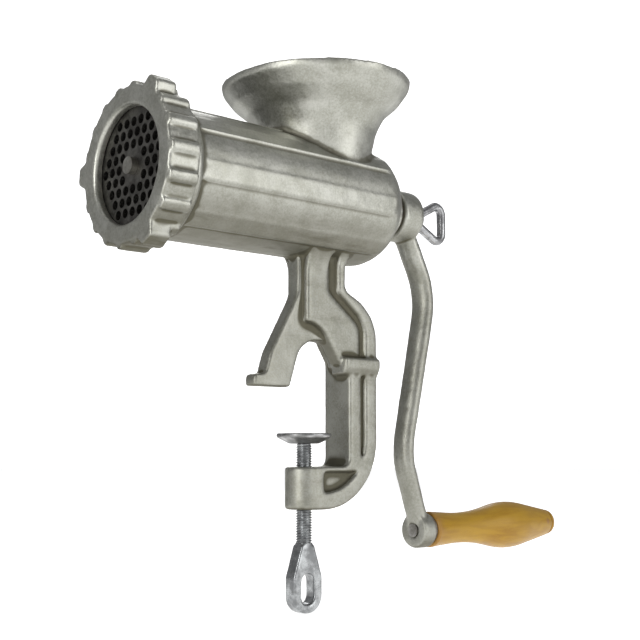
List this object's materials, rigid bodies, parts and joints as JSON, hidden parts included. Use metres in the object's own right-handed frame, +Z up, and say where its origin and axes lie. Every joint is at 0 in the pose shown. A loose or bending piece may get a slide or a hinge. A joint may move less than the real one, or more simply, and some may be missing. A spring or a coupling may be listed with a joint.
{
  "type": "meat grinder",
  "caption": "Hand crank meat grinder: cast barrel with a flared hopper, perforated plate held by a lobed ring nut, bent crank with a wooden grip, and a C-shaped screw clamp for a table edge.",
  "frame": {"origin": "centre of the flat underside of the front foot, which rests on the table's top", "axes": "+X runs along the auger from the outlet to the crank, +Z is up through the hopper; the frame, hopper and clamp lie in the plane y = 0"},
  "size_m": [0.298, 0.098, 0.269],
  "materials": {
    "tinned_body": "hot-tinned sand casting, satin",
    "tinned_ring": "hot-tinned sand casting, satin",
    "tinned_auger": "hot-tinned sand casting, satin",
    "tinned_crank": "hot-tinned sand casting, satin",
    "plate_steel": "dark oiled carbon steel",
    "knife_steel": "ground carbon steel",
    "stud_steel": "turned steel",
    "steel_pin": "ground steel",
    "steel_rod": "drawn steel",
    "bush": "turned bronze",
    "fibre": "vulcanised fibre",
    "zinc_thumb": "bright zinc plate",
    "zinc_washer": "bright zinc plate",
    "zinc_disc": "bright zinc plate",
    "zinc_screw": "bright zinc plate",
    "varnished_wood": "clear varnish over pale hardwood"
  },
  "bodies": {
    "casting": {"body_casting": "tinned_body", "plate_key_pin": "steel_pin", "rear_bush": "bush"},
    "feed": {"auger": "tinned_auger", "auger_stud": "stud_steel", "knife": "knife_steel", "thrust_washer": "fibre"},
    "crank": {"crank_arm": "tinned_crank", "grip_rod": "steel_rod", "grip_washer": "zinc_washer", "thumb_washer": "zinc_washer"},
    "thumb": {"thumb_screw": "zinc_thumb"},
    "handle": {"grip": "varnished_wood"},
    "plate": {"cutting_plate": "plate_steel"},
    "ring": {"ring_nut": "tinned_ring"},
    "disc": {"clamp_disc": "zinc_disc"},
    "screw": {"clamp_screw": "zinc_screw"}
  },
  "joints": [
    {"name": "crank_spin", "type": "hinge", "parent": "casting", "child": "feed", "pos_m": [0, 0, 0.0965], "axis": [1, 0, 0], "continuous": true},
    {"name": "crank_pull", "type": "slide", "parent": "feed", "child": "crank", "axis": [1, 0, 0], "range_m": [0, 0.01]},
    {"name": "thumb_turn", "type": "hinge", "parent": "crank", "child": "thumb", "pos_m": [0.11, 0, 0.0965], "axis": [1, 0, 0], "range_deg": [0, 2881]},
    {"name": "grip_spin", "type": "hinge", "parent": "crank", "child": "handle", "pos_m": [0.16, 0, -0.0735], "axis": [1, 0, 0], "continuous": true},
    {"name": "ring_advance", "type": "slide", "parent": "casting", "child": "plate", "axis": [-1, 0, 0], "range_m": [0, 0.008]},
    {"name": "ring_turn", "type": "hinge", "parent": "plate", "child": "ring", "pos_m": [-0.075, 0, 0.0965], "axis": [-1, 0, 0], "range_deg": [0, 1150]},
    {"name": "clamp_lift", "type": "slide", "parent": "casting", "child": "disc", "axis": [0, 0, 1], "range_m": [-0.01, 0.016]},
    {"name": "clamp_turn", "type": "hinge", "parent": "disc", "child": "screw", "pos_m": [0.0232, 0, -0.05], "axis": [0, 0, 1], "range_deg": [-2881, 4609]}
  ],
  "couplings": [
    {"joint": "thumb_turn", "follows": "crank_pull", "rad_per_m": 5026.5},
    {"joint": "ring_advance", "follows": "ring_turn", "m_per_rad": 0.00039789},
    {"joint": "clamp_turn", "follows": "clamp_lift", "rad_per_m": 5026.5}
  ]
}
